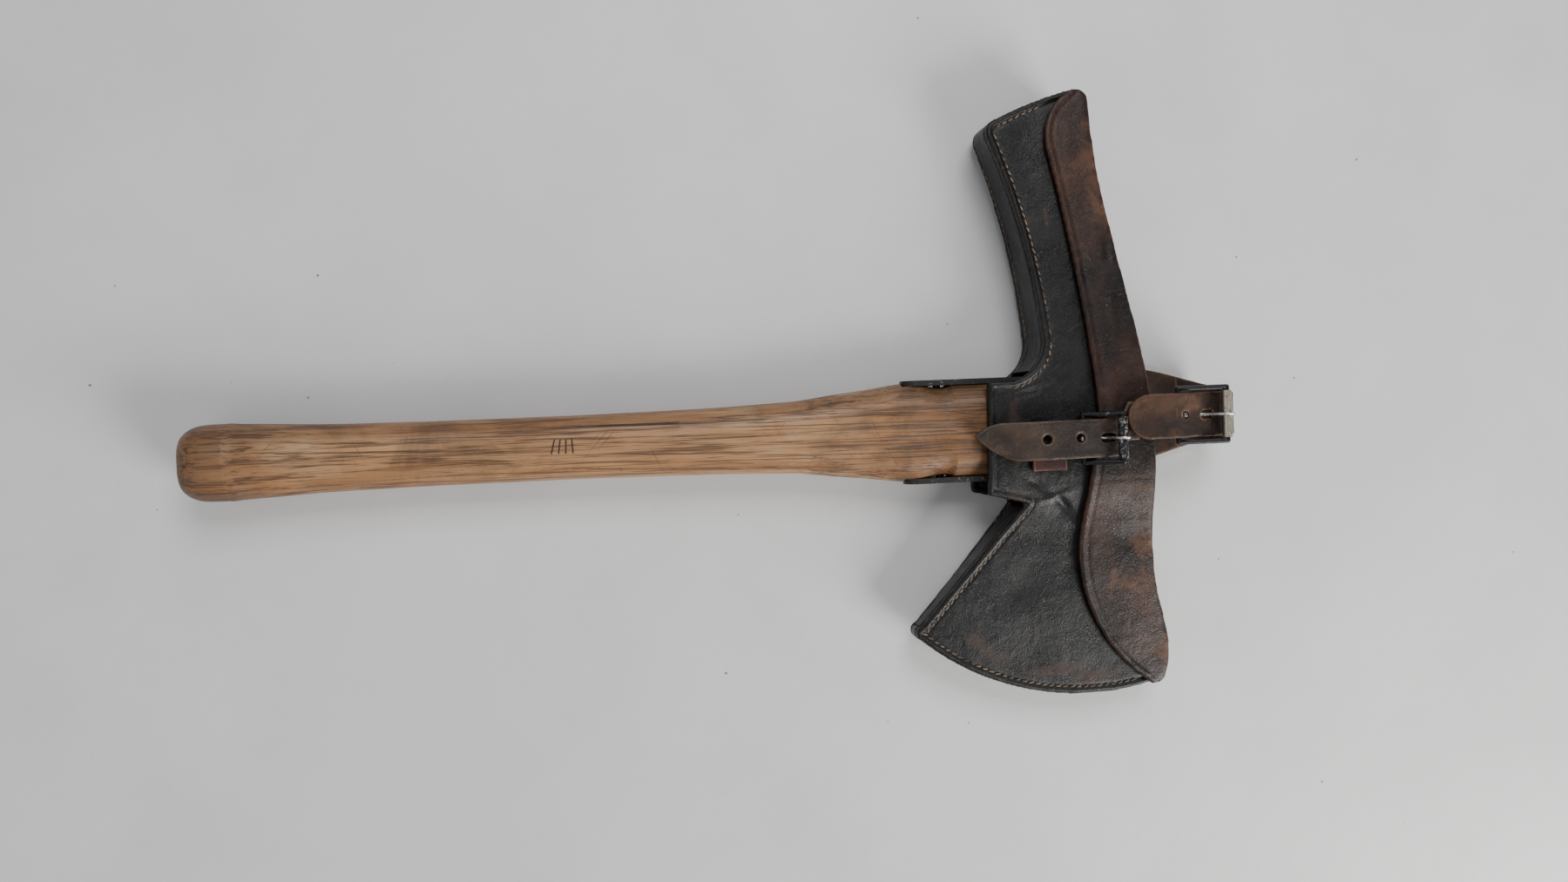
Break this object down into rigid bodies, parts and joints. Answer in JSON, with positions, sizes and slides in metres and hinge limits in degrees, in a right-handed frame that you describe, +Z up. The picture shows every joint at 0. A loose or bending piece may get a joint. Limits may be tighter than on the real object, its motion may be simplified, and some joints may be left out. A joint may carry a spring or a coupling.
{
  "type": "sheathed hatchet",
  "caption": "Short wooden-handled hatchet with a pick, its flared head buckled into a leather sheath with a flap, closing strap and belt loop.",
  "frame": {"origin": "centre of the bounding box in plan, on the table", "axes": "+X along the handle towards the top of the head, +Y towards the pick, +Z up from the table"},
  "size_m": [0.524, 0.3135, 0.0496],
  "materials": {
    "sheath_leather": "black grained, scuffed and dull",
    "flap_leather": "dark brown, worn with a soft sheen",
    "belt_leather": "brown, dry and cracked",
    "keeper_leather": "reddish brown, worn edges",
    "thread": "tan waxed thread",
    "handle_wood": "oiled ash, worn smooth",
    "wedge_wood": "plain hardwood",
    "head_steel": "forged and ground steel",
    "langet_steel": "blackened steel, edges worn",
    "black_wire": "black japanned wire, worn",
    "worn_roller": "steel showing through black",
    "nickel_roller": "worn nickel plate",
    "rivet_metal": "dull domed heads"
  },
  "bodies": {
    "sheath": {"front_panel": "sheath_leather", "back_panel": "sheath_leather", "pick_gusset": "sheath_leather", "blade_gusset": "sheath_leather", "edge_welt": "sheath_leather", "front_seam": "thread", "keeper": "keeper_leather", "front_chape": "flap_leather", "chape_rivets": "rivet_metal"},
    "axe": {"axe_handle": "handle_wood", "axe_head": "head_steel", "eye_wedge": "wedge_wood", "langet_upper": "langet_steel", "langet_lower": "langet_steel", "langet_pins": "langet_steel"},
    "flap": {"flap": "flap_leather", "closing_strap_root": "flap_leather", "loop_chape": "flap_leather", "belt_tab": "belt_leather", "belt_strap_root": "belt_leather", "loop_rivets": "rivet_metal"},
    "closing_strap": {"closing_strap_end": "flap_leather"},
    "front_buckle": {"front_buckle": "black_wire"},
    "front_roller": {"front_roller": "worn_roller"},
    "front_tongue": {"front_tongue": "black_wire"},
    "belt_strap": {"belt_strap_end": "belt_leather"},
    "loop_buckle": {"loop_buckle": "black_wire"},
    "loop_roller": {"loop_roller": "nickel_roller"},
    "loop_tongue": {"loop_tongue": "black_wire"}
  },
  "joints": [
    {"name": "flap_open", "type": "hinge", "parent": "sheath", "child": "flap", "pos_m": [0.1972, -0.0164, 0], "axis": [-0.1219, 0.9925, 0], "range_deg": [0, 150], "deforming": ["closing_strap_root", "closing_strap_end"]},
    {"name": "axe_draw", "type": "slide", "parent": "sheath", "child": "axe", "axis": [1, 0, 0], "range_m": [0, 0.0314]},
    {"name": "closing_strap_lift", "type": "hinge", "parent": "flap", "child": "closing_strap", "pos_m": [0.1815, -0.0229, 0.0396], "axis": [0, 1, 0], "range_deg": [0, 80]},
    {"name": "front_buckle_tilt", "type": "hinge", "parent": "sheath", "child": "front_buckle", "pos_m": [0.174, -0.0229, 0.03705], "axis": [0, -1, 0], "range_deg": [0, 60]},
    {"name": "front_tongue_lift", "type": "hinge", "parent": "front_buckle", "child": "front_tongue", "pos_m": [0.174, -0.0229, 0.03705], "axis": [0, -1, 0], "range_deg": [0, 60]},
    {"name": "front_roller_spin", "type": "hinge", "parent": "front_buckle", "child": "front_roller", "pos_m": [0.1915, -0.0229, 0.0452], "axis": [0, 1, 0], "continuous": true},
    {"name": "belt_strap_lift", "type": "hinge", "parent": "flap", "child": "belt_strap", "pos_m": [0.2335, -0.0132, 0.0404], "axis": [0, 1, 0], "range_deg": [0, 80], "deforming": ["belt_strap_root", "belt_strap_end"]},
    {"name": "loop_buckle_tilt", "type": "hinge", "parent": "flap", "child": "loop_buckle", "pos_m": [0.2235, -0.0132, 0.04035], "axis": [0, -1, 0], "range_deg": [0, 60]},
    {"name": "loop_tongue_lift", "type": "hinge", "parent": "loop_buckle", "child": "loop_tongue", "pos_m": [0.2235, -0.0132, 0.04035], "axis": [0, -1, 0], "range_deg": [0, 60]},
    {"name": "loop_roller_spin", "type": "hinge", "parent": "loop_buckle", "child": "loop_roller", "pos_m": [0.2481, -0.0132, 0.0434], "axis": [0, 1, 0], "continuous": true}
  ],
  "couplings": [
    {"joint": "flap_open", "follows": "axe_draw", "rad_per_m": 83.3}
  ]
}
